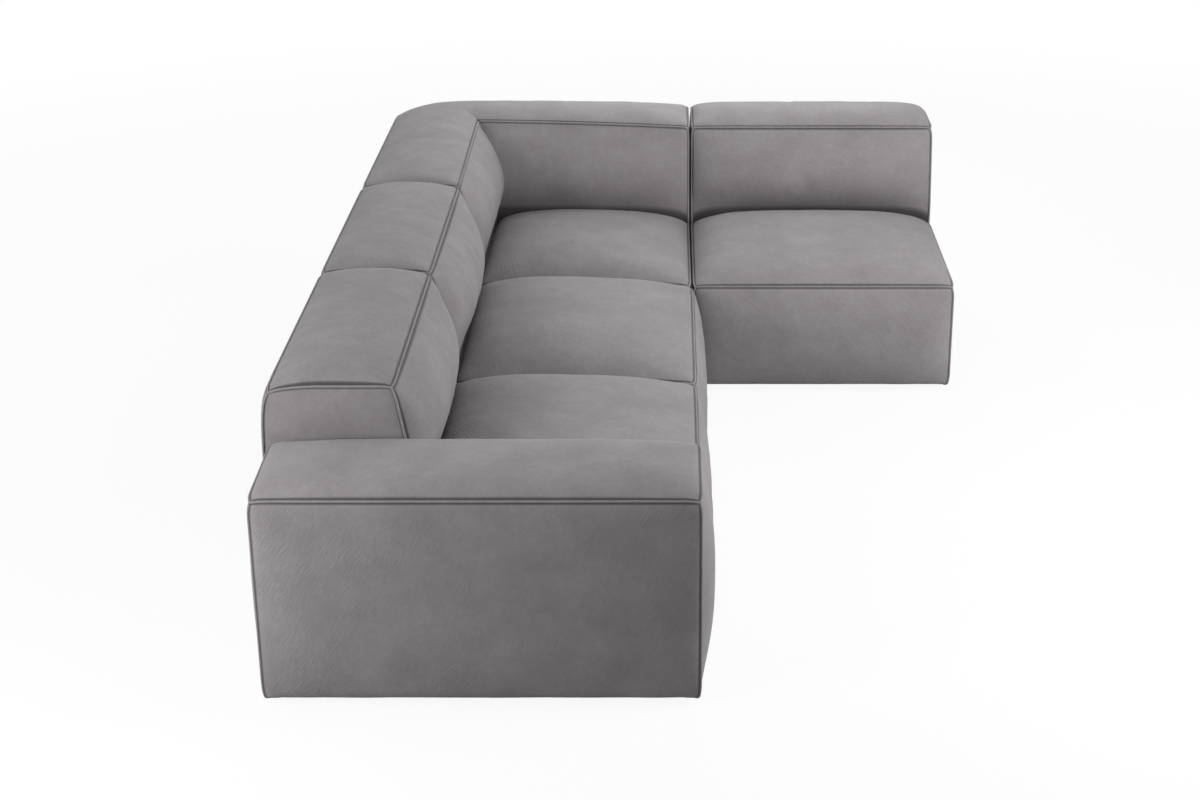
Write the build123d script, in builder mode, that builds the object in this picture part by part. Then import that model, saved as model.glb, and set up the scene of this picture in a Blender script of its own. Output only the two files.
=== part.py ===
"""Modular corner sofa of four upholstered units that hook together into an L.

Plan: the end unit with its arm, the middle unit and the corner unit stand in a row with their
backs on the left. The right unit stands beside the corner unit with its back on the far side.
Every unit is built from padded blocks (seat, back, arm), and every block has a timber frame,
a foam cap and a sewn leather cover. The origin is on the floor under the middle of the sofa.
Lengths are in millimetres.
"""

import math
import os
from dataclasses import dataclass

from build123d import *

# Overall sizes, measured to the piped edges
unit_depth = 1050
seat_width = 850
arm_width = 325
back_height = 695
arm_height = 540
seat_edge_height = 358
seat_line_height = 420
back_top_depth = 305
back_lean = 10
outer_corner_radius = 80

# Gaps under, between and inside the padded blocks
cover_clearance = 20
frame_clearance = 22
seam_gap = 4
block_gap = 0.7
fit_gap = 0.7
glue_line = 0.2

# Leather covers and how far they swell between their piped edges
cover_thickness = 3
seat_rise = 47
seat_crown = 35
seat_front_swell = 30
back_crown = 28
back_front_swell = 40
back_rear_swell = 15
arm_crown = 22
arm_swell = 20
station_fractions = (0, 0.15, 0.5, 0.85, 1)
open_shares = (0.03, 0.8, 1, 0.8, 0.03)
corner_seat_shares = (0.03, 0.8, 1, 0.96, 0.85)
corner_back_shares = (0.03, 0.8, 1, 1, 1)
mitre_overrun = 60

# Foam padding outside the frames
seat_front_pad = 40
seat_side_pad = 20
seat_rear_pad = 15
back_side_pad = 15
back_rear_pad = 15
back_foot_pad = 22
back_knee_pad = 62
back_brow_pad = 75
back_top_pad = 45
arm_side_pad = 28
arm_end_pad = 32
arm_top_pad = 42

# Seat frame
rail_thickness = 28
seat_rail_height = 130
corner_block = 50
corner_block_height = 100

# Back and arm frames
ply_thickness = 22
knee_height = 300
back_rail_height = 100
foot_block_length = 60
foot_block_depth = 56
foot_block_height = 60
arm_top_rail_height = 60
arm_board_thickness = 12

# Seat springs and their clips
wire_radius = 2
spring_count = 4
spring_pitch = 42
spring_half_width = 30
spring_bend_share = 0.45
clip_length = 26
clip_depth = 14
clip_height = 10
clip_clearance = 0.25

# Back webbing
strap_fractions = (0.2, 0.5, 0.8)
strap_width = 60
strap_thickness = 2

# Lining sheets under the base
lining_thickness = 1
lining_overlap = 6
lining_foot_clearance = 1

# Feet
foot_top_radius = 24
foot_floor_radius = 20
foot_edge_radius = 3
stud_radius = 4
stud_length = 30
stud_clearance = 0.1

# Frame bolts
bolt_radius = 4
bolt_clearance = 0.5
bolt_head_radius = 9
bolt_head_height = 6
nut_radius = 7.5
nut_height = 7
nut_clearance = 0.05
bolt_tail = 4
bolt_height = 92
bolt_side_offset = 190

# Connectors: a tongue under one unit stands up into a keeper under the next
connector_depths = (150, 540)
plate_thickness = 3
plate_outer_margin = 2
plate_inner_margin = 8
strip_drop = 0.5
tongue_width = 50
tongue_top = 31
tongue_inset = 7
tongue_clearance = 0.4
keeper_width = 90
mortise_margin = 2.5
mortise_depth = 13
screw_radius = 2
screw_head_radius = 4
screw_length = 24
screw_clearance = 0.2
hook_screw_offset = 15
keeper_screw_offset = 36

# Values that follow from the sizes above
back_foot_depth = back_top_depth + (back_height - seat_line_height) * math.tan(math.radians(back_lean))
back_front = unit_depth - back_foot_depth
seat_rear = back_front - block_gap
half_seam = seam_gap / 2
skin = cover_thickness + fit_gap
rail_top = frame_clearance + seat_rail_height
spring_height = rail_top + clip_height / 2
deck_height = rail_top + clip_height + fit_gap
end_seam = arm_width + seat_width
corner_seam = end_seam + seat_width
plan_width = unit_depth + seat_width
plan_length = corner_seam + unit_depth
plan_centre_x = (plan_width - back_rear_swell) / 2
plan_centre_y = (plan_length + back_rear_swell - arm_swell) / 2

# Corners of a back rib: the front foot and knee, then up the lean to the brow
rib_front = back_front + skin + back_foot_pad
rib_rear = unit_depth - skin - back_rear_pad
rib_top = back_height - skin - back_top_pad
rib_knee = back_front + skin + back_knee_pad
rib_brow = unit_depth - back_top_depth + skin + back_brow_pad
rib_corners = [
    (rib_front, frame_clearance),
    (rib_rear, frame_clearance),
    (rib_rear, rib_top),
    (rib_brow, rib_top),
    (rib_knee, knee_height),
    (rib_front, knee_height),
]
arm_frame_top = arm_height - skin - arm_top_pad
rib_margin = glue_line + strap_thickness + fit_gap

# Connector places across a seam, measured from the middle of the seam
rail_face = half_seam + skin + seat_side_pad
plate_low = rail_face + plate_outer_margin
plate_high = rail_face + rail_thickness - plate_inner_margin
plate_bottom = frame_clearance - plate_thickness
strip_top = plate_bottom - strip_drop
strip_bottom = strip_top - plate_thickness
tongue_low = rail_face + tongue_inset
tongue_high = tongue_low + plate_thickness
screw_row = (plate_low + plate_high) / 2


@dataclass
class Unit:
    """A unit of the sofa. On its floor plane, x runs along the width and y from front to rear."""

    name: str
    floor: Plane
    seat_left: float
    seat_right: float
    seat_front: float
    back_left: float
    back_right: float
    last_rib: float
    front_swell: float
    front_pad: float
    right_pad: float
    seat_shares: tuple
    back_shares: tuple

    def across(self, u):
        """Upright plane across the width at u: x runs from front to rear and y is up."""
        return Plane(self.floor.from_local_coords((u, 0, 0)), self.floor.y_dir, self.floor.x_dir)

    def along(self, v):
        """Upright plane at depth v that faces the front: x runs along the width and y is up."""
        return Plane(self.floor.from_local_coords((0, v, 0)), self.floor.x_dir, -self.floor.y_dir)

    def level(self, height):
        """Level plane at a height above the floor."""
        return self.floor.offset(height)


def floor_plane(plan_x, plan_y, width_direction):
    """Floor plane of a unit whose front left corner stands at a point of the plan."""
    return Plane((plan_x - plan_centre_x, plan_y - plan_centre_y, 0), width_direction, (0, 0, 1))


def straight_unit(name, floor, left, right):
    """A unit with a straight back, whose blocks run from left to right."""
    return Unit(
        name=name,
        floor=floor,
        seat_left=left,
        seat_right=right,
        seat_front=0,
        back_left=left,
        back_right=right,
        last_rib=right - skin - back_side_pad - ply_thickness,
        front_swell=seat_front_swell,
        front_pad=seat_front_pad,
        right_pad=seat_side_pad,
        seat_shares=open_shares,
        back_shares=open_shares,
    )


end_unit = straight_unit(
    "end", floor_plane(unit_depth, arm_width, (0, 1, 0)), block_gap, seat_width - half_seam
)
middle_unit = straight_unit(
    "middle", floor_plane(unit_depth, end_seam, (0, 1, 0)), half_seam, seat_width - half_seam
)
right_unit = straight_unit(
    "right", floor_plane(unit_depth, corner_seam, (1, 0, 0)), half_seam, seat_width
)
# The corner's back is drawn as its left leg, past the outer corner. The mitre cuts it there.
corner_unit = Unit(
    name="corner",
    floor=floor_plane(unit_depth, corner_seam, (0, 1, 0)),
    seat_left=half_seam,
    seat_right=seat_rear,
    seat_front=half_seam,
    back_left=half_seam,
    back_right=unit_depth + mitre_overrun,
    last_rib=rib_front,
    front_swell=0,
    front_pad=seat_side_pad,
    right_pad=seat_rear_pad,
    seat_shares=corner_seat_shares,
    back_shares=corner_back_shares,
)
units = (end_unit, middle_unit, corner_unit, right_unit)

# The corner's two legs mirror each other about this upright plane through its outer corner.
# The left leg stops half a glue line short of it.
outer_corner = corner_unit.floor.from_local_coords((unit_depth, unit_depth, 0))
mitre_plane = Plane(outer_corner, (0, 0, 1), (1, 1, 0))
left_leg_end = mitre_plane.offset(-glue_line / 2)


@dataclass
class Connector:
    """A tongue under the holder that stands up into a keeper under the hanger.

    On its plane, x runs from the holder to the hanger across the seam and y is up.
    """

    holder: Unit
    hanger: Unit
    plane: Plane

    def under(self):
        """Level plane at the underside of the connector's plates, facing down."""
        return Plane(self.plane.origin, self.plane.x_dir, (0, 0, -1)).offset(-plate_bottom)


def seam_connectors(holder, hanger, places, direction):
    """The connectors of one seam, at places on the holder's floor plane."""
    found = []
    for place in places:
        origin = holder.floor.from_local_coords((*place, 0))
        side = Vector(direction).cross(Vector(0, 0, 1))
        found.append(Connector(holder, hanger, Plane(origin, direction, side)))
    return found


left_side_places = [(0, depth) for depth in connector_depths]
front_side_places = [(depth, 0) for depth in connector_depths]
connectors = (
    seam_connectors(middle_unit, end_unit, left_side_places, (0, -1, 0))
    + seam_connectors(corner_unit, middle_unit, left_side_places, (0, -1, 0))
    + seam_connectors(corner_unit, right_unit, front_side_places, (1, 0, 0))
)


# Profiles


def outline(plane, corners, swells):
    """Face through corners in anticlockwise order. A side with a swell is an arc."""
    with BuildSketch(plane) as sketch:
        with BuildLine():
            for start, end, swell in zip(corners, corners[1:] + corners[:1], swells):
                if swell:
                    SagittaArc(start, end, -swell)
                else:
                    Line(start, end)
        make_face()
    return sketch.sketch


def polygon(plane, corners):
    """Face with straight sides."""
    return outline(plane, corners, [0] * len(corners))


def rectangles(plane, spans):
    """Separate rectangles, each given as x low, x high, y low, y high."""
    with BuildSketch(plane) as sketch:
        for x_low, x_high, y_low, y_high in spans:
            with Locations(((x_low + x_high) / 2, (y_low + y_high) / 2)):
                Rectangle(x_high - x_low, y_high - y_low)
    return sketch.sketch


def circles(plane, centres, radius):
    """Separate circles of one radius."""
    with BuildSketch(plane) as sketch:
        with Locations(*centres):
            Circle(radius)
    return sketch.sketch


def hexagons(plane, centres, radius):
    """Separate hexagons, each with its corners at one radius."""
    with BuildSketch(plane) as sketch:
        with Locations(*centres):
            RegularPolygon(radius, side_count=6)
    return sketch.sketch


def blocks_round(centres, length, depth):
    """Spans of equal rectangles round a row of centres."""
    return [(x - length / 2, x + length / 2, y - depth / 2, y + depth / 2) for x, y in centres]


# Sections of the padded blocks, moved inwards by an inset


def stations(low, high, shares):
    """Places from low to high, each with its share of the block's full swell."""
    return [(low + fraction * (high - low), share) for fraction, share in zip(station_fractions, shares)]


def seat_sections(unit, inset, bottom):
    """Upright sections of a seat block, from its left side to its right side."""
    front = unit.seat_front + inset
    rear = seat_rear - inset
    front_top = seat_edge_height - inset
    sections = []
    for u, share in stations(unit.seat_left + inset, unit.seat_right - inset, unit.seat_shares):
        rear_top = front_top + seat_rise * share
        corners = [(front, bottom), (rear, bottom), (rear, rear_top), (front, front_top)]
        swells = (0, 0, seat_crown * share, unit.front_swell * share)
        sections.append(outline(unit.across(u), corners, swells))
    return sections


def back_sections(unit, inset, bottom):
    """Upright sections of a back block, from its left side to its right side."""
    front = back_front + inset
    rear = unit_depth - inset
    top = back_height - inset
    brow = unit_depth - back_top_depth + inset
    corners = [(front, bottom), (rear, bottom), (rear, top), (brow, top), (front, seat_line_height)]
    sections = []
    for u, share in stations(unit.back_left + inset, unit.back_right - inset, unit.back_shares):
        swells = (0, back_rear_swell * share, back_crown * share, back_front_swell * share, 0)
        sections.append(outline(unit.across(u), corners, swells))
    return sections


def arm_sections(unit, inset, bottom):
    """Upright sections of the arm block, from its rear end to its front end."""
    outer = -arm_width + inset
    inner = -inset
    top = arm_height - inset
    corners = [(outer, bottom), (inner, bottom), (inner, top), (outer, top)]
    sections = []
    for v, share in stations(unit_depth - inset, inset, open_shares):
        swells = (0, 0, arm_crown * share, arm_swell * share)
        sections.append(outline(unit.along(v), corners, swells))
    return sections


# Spans of the frames inside the padding


def seat_frame_span(unit):
    """Low and high width, then low and high depth, of a seat frame."""
    return (
        unit.seat_left + skin + seat_side_pad,
        unit.seat_right - skin - unit.right_pad,
        unit.seat_front + skin + unit.front_pad,
        seat_rear - skin - seat_rear_pad,
    )


def first_rib(unit):
    """Width at which the first rib of a back frame starts."""
    return unit.back_left + skin + back_side_pad


def arm_frame_span():
    """Low and high width, then low and high depth, of the arm frame."""
    return (
        -arm_width + skin + arm_side_pad,
        -skin - arm_side_pad,
        skin + arm_end_pad,
        unit_depth - skin - arm_end_pad,
    )


def front_rail_spans():
    """Depth and height of the front rails of a back frame: at its foot, knee and brow."""
    foot_top = frame_clearance + back_rail_height
    return [
        (rib_front, rib_front + rail_thickness, frame_clearance, foot_top),
        (rib_knee, rib_knee + rail_thickness, knee_height - back_rail_height, knee_height),
        (rib_brow, rib_brow + rail_thickness, rib_top - back_rail_height, rib_top),
    ]


def rear_rail_spans():
    """Depth and height of the rear rails of a back frame: at its foot and top."""
    foot_top = frame_clearance + back_rail_height
    return [
        (rib_rear - rail_thickness, rib_rear, frame_clearance, foot_top),
        (rib_rear - rail_thickness, rib_rear, rib_top - back_rail_height, rib_top),
    ]


# Places of the feet, on the floor plane of a unit


def seat_foot_centres(unit):
    """Feet under the front corner blocks of a seat. The corner's seat has only one free corner."""
    low, high, front, _ = seat_frame_span(unit)
    inset = rail_thickness + glue_line + corner_block / 2
    left_foot = (low + inset, front + inset)
    right_foot = (high - inset, front + inset)
    return [left_foot] if unit is corner_unit else [left_foot, right_foot]


def back_foot_centres(unit):
    """Feet under the rear foot blocks of a back. The corner's second one is past its last rib."""
    inset = ply_thickness + glue_line + foot_block_length / 2
    depth = rib_rear - rail_thickness - glue_line - foot_block_depth / 2
    first = first_rib(unit) + inset
    last = unit.last_rib + inset
    if unit is not corner_unit:
        last = unit.last_rib - glue_line - foot_block_length / 2
    return [(first, depth), (last, depth)]


def arm_foot_centres():
    """Feet under the two foot blocks of the arm."""
    low, high, front, rear = arm_frame_span()
    inset = ply_thickness + glue_line + foot_block_depth / 2
    return [((low + high) / 2, front + inset), ((low + high) / 2, rear - inset)]


def all_foot_centres(unit):
    """Every foot of a unit, apart from those under the mirrored leg of the corner's back."""
    centres = seat_foot_centres(unit) + back_foot_centres(unit)
    return centres + arm_foot_centres() if unit is end_unit else centres


def stud_holes(unit, centres):
    """Rods to take out of a frame for the studs of its feet."""
    with BuildPart() as rods:
        holes = circles(unit.level(frame_clearance), centres, stud_radius + stud_clearance)
        extrude(holes, amount=stud_length + stud_clearance)
    return rods.part


# Places of the frame bolts


def back_bolt_centres(unit):
    """Width and height of the bolts between a seat frame and its back frame."""
    low, high, _, _ = seat_frame_span(unit)
    return [(low + bolt_side_offset, bolt_height), (high - bolt_side_offset, bolt_height)]


def arm_bolt_centres():
    """Depth and height of the bolts between the end unit's seat frame and its arm frame."""
    _, _, front, rear = seat_frame_span(end_unit)
    return [(front + bolt_side_offset, bolt_height), (rear - bolt_side_offset, bolt_height)]


def back_bolt_reach(unit):
    """Depth of the bolts' nut seats in the back frame, and the grip from there to their heads."""
    nut_seat = rib_front + rail_thickness
    head_seat = seat_frame_span(unit)[3] - rail_thickness
    return nut_seat, nut_seat - head_seat


def arm_bolt_reach():
    """Width of the bolts' head seats in the arm frame, and the grip from there to their nuts."""
    head_seat = arm_frame_span()[1] - rail_thickness
    nut_seat = seat_frame_span(end_unit)[0] + rail_thickness
    return head_seat, nut_seat - head_seat


def bolt_holes(unit):
    """Rods to take out of every piece that the bolts of a unit pass through."""
    radius = bolt_radius + bolt_clearance
    nut_seat, grip = back_bolt_reach(unit)
    with BuildPart() as rods:
        start = unit.along(nut_seat + bolt_tail)
        extrude(circles(start, back_bolt_centres(unit), radius), amount=grip + 2 * bolt_tail)
        if unit is corner_unit:
            mirror(about=mitre_plane)
        if unit is end_unit:
            head_seat, arm_grip = arm_bolt_reach()
            arm_start = unit.across(head_seat - bolt_tail)
            extrude(circles(arm_start, arm_bolt_centres(), radius), amount=arm_grip + 2 * bolt_tail)
    return rods.part


# Places of the connectors


def connector_screws(unit):
    """Plane under each connector plate of a unit, with the places of its screws there."""
    hook_places = [(-screw_row, -hook_screw_offset), (-screw_row, hook_screw_offset)]
    keeper_places = [(screw_row, -keeper_screw_offset), (screw_row, keeper_screw_offset)]
    found = []
    for connector in connectors:
        if connector.holder is unit:
            found.append((connector.under(), hook_places))
        if connector.hanger is unit:
            found.append((connector.under(), keeper_places))
    return found


def connector_cuts(unit):
    """Rods and blocks to take out of a seat frame for screws and for the tongues of a neighbour."""
    half_length = tongue_width / 2 + mortise_margin
    mortise = (tongue_low - mortise_margin, tongue_high + mortise_margin, -half_length, half_length)
    with BuildPart() as cuts:
        for under, places in connector_screws(unit):
            pilots = circles(under, places, screw_radius + screw_clearance / 2)
            extrude(pilots, amount=-screw_length - screw_clearance)
        for connector in connectors:
            if connector.hanger is unit:
                base = connector.under().offset(-plate_thickness)
                extrude(rectangles(base, [mortise]), amount=-mortise_depth)
    return cuts.part


# Seat blocks


def make_seat_frame(unit):
    """Four rails and four corner blocks, drilled for the bolts, feet and connectors."""
    low, high, front, rear = seat_frame_span(unit)
    inner_low = low + rail_thickness
    inner_high = high - rail_thickness
    inner_front = front + rail_thickness + glue_line
    inner_rear = rear - rail_thickness - glue_line
    rails = [
        (low, high, front, front + rail_thickness),
        (low, high, rear - rail_thickness, rear),
        (low, inner_low, inner_front, inner_rear),
        (inner_high, high, inner_front, inner_rear),
    ]
    reach = glue_line + corner_block / 2
    corners = [
        (u, v)
        for u in (inner_low + reach, inner_high - reach)
        for v in (inner_front + corner_block / 2, inner_rear - corner_block / 2)
    ]
    blocks = blocks_round(corners, corner_block, corner_block)
    base = unit.level(frame_clearance)
    with BuildPart() as frame:
        extrude(rectangles(base, rails), amount=seat_rail_height)
        extrude(rectangles(base, blocks), amount=corner_block_height)
        add(bolt_holes(unit), mode=Mode.SUBTRACT)
        add(stud_holes(unit, seat_foot_centres(unit)), mode=Mode.SUBTRACT)
        add(connector_cuts(unit), mode=Mode.SUBTRACT)
    return frame.part


def spring_rows(unit):
    """Width of each spring's middle, and the depths of its first and last bars."""
    low, high, front, rear = seat_frame_span(unit)
    pitch = (high - low) / spring_count
    centres = [low + pitch * (index + 0.5) for index in range(spring_count)]
    return centres, front + rail_thickness / 2, rear - rail_thickness / 2


def make_seat_springs(unit):
    """Zigzag wire springs that span the seat frame from its front rail to its rear rail."""
    centres, first, last = spring_rows(unit)
    bars = round((last - first) / spring_pitch)
    step = (last - first) / bars
    with BuildPart() as springs:
        for centre in centres:
            points = []
            side = -spring_half_width
            for bar in range(bars + 1):
                points += [(centre + side, first + bar * step), (centre - side, first + bar * step)]
                side = -side
            with BuildLine(unit.level(spring_height)) as path:
                FilletPolyline(*points, radius=spring_bend_share * step)
            with BuildSketch(Plane(path.line @ 0, z_dir=path.line % 0)):
                Circle(wire_radius)
            sweep(path=path.line)
    return springs.part


def make_spring_clips(unit):
    """Clips that hold the end bars of the springs down on the rails."""
    centres, first, last = spring_rows(unit)
    places = [(centre, depth) for centre in centres for depth in (first, last)]
    spans = blocks_round(places, clip_length, clip_depth)
    low, high, _, _ = seat_frame_span(unit)
    bars = [(first, spring_height), (last, spring_height)]
    with BuildPart() as clips:
        extrude(rectangles(unit.level(rail_top), spans), amount=clip_height)
        bores = circles(unit.across(low), bars, wire_radius + clip_clearance)
        extrude(bores, amount=high - low, mode=Mode.SUBTRACT)
    return clips.part


def make_seat_foam(unit):
    """Crowned foam cap that fits over the seat frame and its springs."""
    low, high, front, rear = seat_frame_span(unit)
    hollow = (low - fit_gap, high + fit_gap, front - fit_gap, rear + fit_gap)
    base = unit.level(frame_clearance)
    with BuildPart() as foam:
        loft(seat_sections(unit, skin, frame_clearance))
        extrude(rectangles(base, [hollow]), amount=deck_height - frame_clearance, mode=Mode.SUBTRACT)
        add(bolt_holes(unit), mode=Mode.SUBTRACT)
    return foam.part


def make_seat_cover(unit):
    """Leather shell round the seat foam, open underneath."""
    with BuildPart() as cover:
        loft(seat_sections(unit, 0, cover_clearance))
        loft(seat_sections(unit, cover_thickness, cover_clearance - cover_thickness), mode=Mode.SUBTRACT)
        add(bolt_holes(unit), mode=Mode.SUBTRACT)
    return cover.part


# Back blocks


def corner_waste(inset):
    """What lies outside the rounded outer corner of the corner's back, moved inwards by an inset."""
    centre = unit_depth - outer_corner_radius
    reach = outer_corner_radius + mitre_overrun
    with BuildPart() as waste:
        with BuildSketch(corner_unit.floor):
            with Locations((centre, centre)):
                Rectangle(reach, reach, align=Align.MIN)
                Circle(outer_corner_radius + back_rear_swell - inset, mode=Mode.SUBTRACT)
        extrude(amount=back_height + mitre_overrun)
    return waste.part


def back_body(unit, inset, bottom):
    """Solid form of a back block, moved inwards by an inset."""
    with BuildPart() as body:
        loft(back_sections(unit, inset, bottom))
        if unit is corner_unit:
            add(corner_waste(inset), mode=Mode.SUBTRACT)
    return body.part


def make_back_frame(unit):
    """Plywood ribs joined by long rails, with foot blocks beside the rear bottom rail."""
    first = first_rib(unit)
    bay_start = first + ply_thickness + glue_line
    bay_end = unit.last_rib - glue_line
    past_rib = unit.last_rib + ply_thickness + glue_line
    blocks = blocks_round(back_foot_centres(unit), foot_block_length, foot_block_depth)
    with BuildPart() as frame:
        for rib in (first, unit.last_rib):
            extrude(polygon(unit.across(rib), rib_corners), amount=ply_thickness)
        bay_rails = rectangles(unit.across(bay_start), front_rail_spans() + rear_rail_spans())
        extrude(bay_rails, amount=bay_end - bay_start)
        extrude(rectangles(unit.level(frame_clearance), blocks), amount=foot_block_height)
        if unit is corner_unit:
            end_rails = rectangles(unit.across(past_rib), rear_rail_spans())
            extrude(end_rails, amount=unit.back_right - past_rib)
            add(corner_waste(skin + back_rear_pad), mode=Mode.SUBTRACT)
        add(bolt_holes(unit), mode=Mode.SUBTRACT)
        add(stud_holes(unit, back_foot_centres(unit)), mode=Mode.SUBTRACT)
        if unit is corner_unit:
            split(bisect_by=left_leg_end, keep=Keep.BOTTOM)
            mirror(about=mitre_plane)
    return frame.part


def strap_corners(fraction):
    """Section of a webbing strap that lies on the lean of the ribs, a fraction of the way up it."""
    lean = Vector(rib_brow - rib_knee, rib_top - knee_height)
    middle = Vector(rib_knee, knee_height) + lean * fraction
    half = lean.normalized() * (strap_width / 2)
    outward = Vector(-lean.Y, lean.X).normalized()
    inner = outward * glue_line
    outer = outward * (glue_line + strap_thickness)
    points = (middle - half + inner, middle + half + inner, middle + half + outer, middle - half + outer)
    return [(point.X, point.Y) for point in points]


def make_back_webbing(unit):
    """Elastic straps stretched from rib to rib behind the foam of the lean."""
    first = first_rib(unit)
    with BuildPart() as webbing:
        for fraction in strap_fractions:
            strap = polygon(unit.across(first), strap_corners(fraction))
            extrude(strap, amount=unit.last_rib + ply_thickness - first)
        if unit is corner_unit:
            mirror(about=mitre_plane)
    return webbing.part


def back_hollow(unit):
    """Face of the hollow that the foam of a back leaves for its frame and webbing."""
    with BuildSketch(unit.across(first_rib(unit) - fit_gap)) as sketch:
        with BuildLine():
            Polyline(*rib_corners, close=True)
        make_face()
        offset(amount=rib_margin, kind=Kind.INTERSECTION)
    return sketch.sketch


def make_back_foam(unit):
    """Crowned foam cap that fits over the back frame."""
    end = unit.back_right if unit is corner_unit else unit.last_rib + ply_thickness + fit_gap
    with BuildPart() as hollow:
        extrude(back_hollow(unit), amount=end - first_rib(unit) + fit_gap)
        if unit is corner_unit:
            add(corner_waste(skin + back_rear_pad - rib_margin), mode=Mode.SUBTRACT)
    with BuildPart() as foam:
        add(back_body(unit, skin, frame_clearance))
        add(hollow.part, mode=Mode.SUBTRACT)
        add(bolt_holes(unit), mode=Mode.SUBTRACT)
        if unit is corner_unit:
            split(bisect_by=left_leg_end, keep=Keep.BOTTOM)
            mirror(about=mitre_plane)
    return foam.part


def make_back_cover(unit):
    """Leather shell round the back foam, open underneath. The corner's is its left leg alone."""
    with BuildPart() as cover:
        add(back_body(unit, 0, cover_clearance))
        space = back_body(unit, cover_thickness, cover_clearance - cover_thickness)
        add(space, mode=Mode.SUBTRACT)
        add(bolt_holes(unit), mode=Mode.SUBTRACT)
        if unit is corner_unit:
            split(bisect_by=left_leg_end, keep=Keep.BOTTOM)
    return cover.part


# Arm block of the end unit


def make_arm_frame(unit):
    """Front and rear panels joined by four rails, with a top board and two foot blocks."""
    low, high, front, rear = arm_frame_span()
    panel_top = arm_frame_top - arm_board_thickness - glue_line
    panels = [(low, high, front, front + ply_thickness), (low, high, rear - ply_thickness, rear)]
    rails = [
        (low, low + rail_thickness, frame_clearance, rail_top),
        (high - rail_thickness, high, frame_clearance, rail_top),
        (low, low + rail_thickness, panel_top - arm_top_rail_height, panel_top),
        (high - rail_thickness, high, panel_top - arm_top_rail_height, panel_top),
    ]
    rail_start = unit.along(rear - ply_thickness - glue_line)
    rail_length = rear - front - 2 * (ply_thickness + glue_line)
    blocks = blocks_round(arm_foot_centres(), foot_block_length, foot_block_depth)
    base = unit.level(frame_clearance)
    with BuildPart() as frame:
        extrude(rectangles(base, panels), amount=panel_top - frame_clearance)
        extrude(rectangles(rail_start, rails), amount=rail_length)
        extrude(rectangles(base, blocks), amount=foot_block_height)
        board = rectangles(unit.level(panel_top + glue_line), [(low, high, front, rear)])
        extrude(board, amount=arm_board_thickness)
        add(bolt_holes(unit), mode=Mode.SUBTRACT)
        add(stud_holes(unit, arm_foot_centres()), mode=Mode.SUBTRACT)
    return frame.part


def make_arm_foam(unit):
    """Crowned foam cap that fits over the arm frame."""
    low, high, front, rear = arm_frame_span()
    hollow = (low - fit_gap, high + fit_gap, front - fit_gap, rear + fit_gap)
    hollow_height = arm_frame_top + fit_gap - frame_clearance
    base = unit.level(frame_clearance)
    with BuildPart() as foam:
        loft(arm_sections(unit, skin, frame_clearance))
        extrude(rectangles(base, [hollow]), amount=hollow_height, mode=Mode.SUBTRACT)
        add(bolt_holes(unit), mode=Mode.SUBTRACT)
    return foam.part


def make_arm_cover(unit):
    """Leather shell round the arm foam, open underneath."""
    with BuildPart() as cover:
        loft(arm_sections(unit, 0, cover_clearance))
        loft(arm_sections(unit, cover_thickness, cover_clearance - cover_thickness), mode=Mode.SUBTRACT)
        add(bolt_holes(unit), mode=Mode.SUBTRACT)
    return cover.part


# Underside and hardware


def make_lining(unit):
    """Thin lining sheets stapled under the frames, with holes for the feet."""
    edge = rail_thickness - lining_overlap
    low, high, front, rear = seat_frame_span(unit)
    sheets = [(low + edge, high - edge, front + edge, rear - edge)]
    if unit is end_unit:
        low, high, front, rear = arm_frame_span()
        sheets.append((low + edge, high - edge, front + edge, rear - edge))
    back_start = first_rib(unit) + ply_thickness - lining_overlap
    back_end = unit.back_right if unit is corner_unit else unit.last_rib + lining_overlap
    back_sheet = (back_start, back_end, rib_front + edge, rib_rear - edge)
    base = unit.level(frame_clearance - lining_thickness)
    holes = circles(base, all_foot_centres(unit), foot_top_radius + lining_foot_clearance)
    with BuildPart() as lining:
        extrude(rectangles(base, [back_sheet]), amount=lining_thickness)
        if unit is corner_unit:
            split(bisect_by=left_leg_end, keep=Keep.BOTTOM)
        extrude(rectangles(base, sheets), amount=lining_thickness)
        extrude(holes, amount=lining_thickness, mode=Mode.SUBTRACT)
        if unit is corner_unit:
            left_leg_sheet = lining.solids().sort_by(Axis.X)[0]
            mirror(left_leg_sheet, about=mitre_plane)
    return lining.part


def make_feet(unit):
    """Tapered glides, each with a stud that stands in a block of the frame."""
    centres = all_foot_centres(unit)
    upright = (Align.CENTER, Align.CENTER, Align.MIN)
    with BuildPart(unit.floor) as feet:
        with Locations(*centres):
            Cone(foot_floor_radius, foot_top_radius, frame_clearance, align=upright)
        fillet(feet.edges().group_by(Axis.Z)[0], foot_edge_radius)
        with Locations(*[(u, v, frame_clearance) for u, v in centres]):
            Cylinder(stud_radius, stud_length, align=upright)
        if unit is corner_unit:
            left_leg_feet = feet.solids().sort_by(Axis.X)[: len(back_foot_centres(unit))]
            mirror(left_leg_feet, about=mitre_plane)
    return feet.part


def make_nuts(seat_plane, centres, height):
    """Hexagon nuts that stand on a plane, bored to clear their bolts."""
    with BuildPart() as nuts:
        extrude(hexagons(seat_plane, centres, nut_radius), amount=height)
        bores = circles(seat_plane, centres, bolt_radius + nut_clearance)
        extrude(bores, amount=height, mode=Mode.SUBTRACT)
    return nuts.part


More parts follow.
